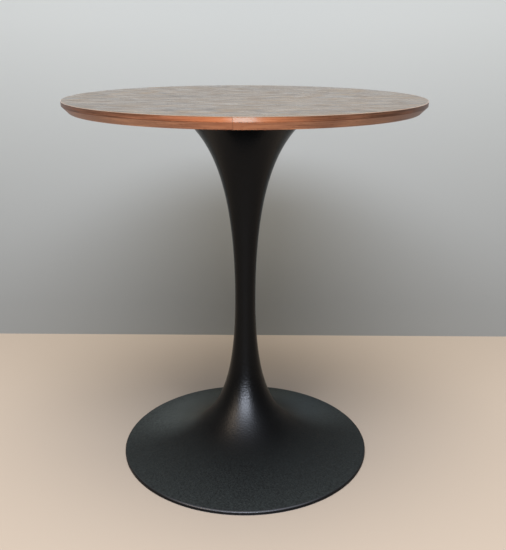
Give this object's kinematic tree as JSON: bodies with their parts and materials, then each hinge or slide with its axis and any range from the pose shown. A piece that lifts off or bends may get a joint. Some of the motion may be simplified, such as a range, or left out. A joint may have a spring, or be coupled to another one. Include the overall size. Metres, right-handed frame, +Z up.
{
  "type": "tulip table",
  "caption": "Round tulip table with a walnut-veneered top on a slim waisted metal pedestal that flares into a wide round foot.",
  "frame": {"origin": "on the floor at the centre of the foot", "axes": "+Z up along the pedestal's axis, the top's grain runs along X, the front faces -Y"},
  "size_m": [0.6859, 0.686, 0.75],
  "materials": {
    "walnut_face": "satin lacquered walnut veneer",
    "walnut_edge": "lacquered walnut strip",
    "walnut_backing": "unlacquered balancing veneer",
    "fibreboard": "raw fibreboard",
    "powder_coat": "fine-textured matt black powder coat",
    "black_steel": "dark primed steel",
    "zinc_steel": "bright zinc plated",
    "cast_iron": "as cast, painted dark grey",
    "black_plastic": "moulded matt",
    "rubber": "matt black rubber"
  },
  "bodies": {
    "root": {"top_veneer": "walnut_face", "tabletop_core": "fibreboard", "edge_band": "walnut_edge", "bevel_band": "walnut_edge", "backing_veneer": "walnut_backing", "threaded_inserts": "zinc_steel", "mounting_plate": "black_steel", "plate_hub": "black_steel", "plate_bolts": "zinc_steel", "plate_washers": "zinc_steel", "rim_gasket": "rubber", "upper_trumpet": "powder_coat", "waist_sleeve": "black_steel", "lower_trumpet": "powder_coat", "tie_rod": "zinc_steel", "rod_washer": "zinc_steel", "rod_nut": "zinc_steel", "ballast_weight": "cast_iron", "base_cover": "black_steel", "cover_screws": "zinc_steel", "access_plug": "black_plastic", "floor_ring": "rubber"}
  },
  "joints": []
}
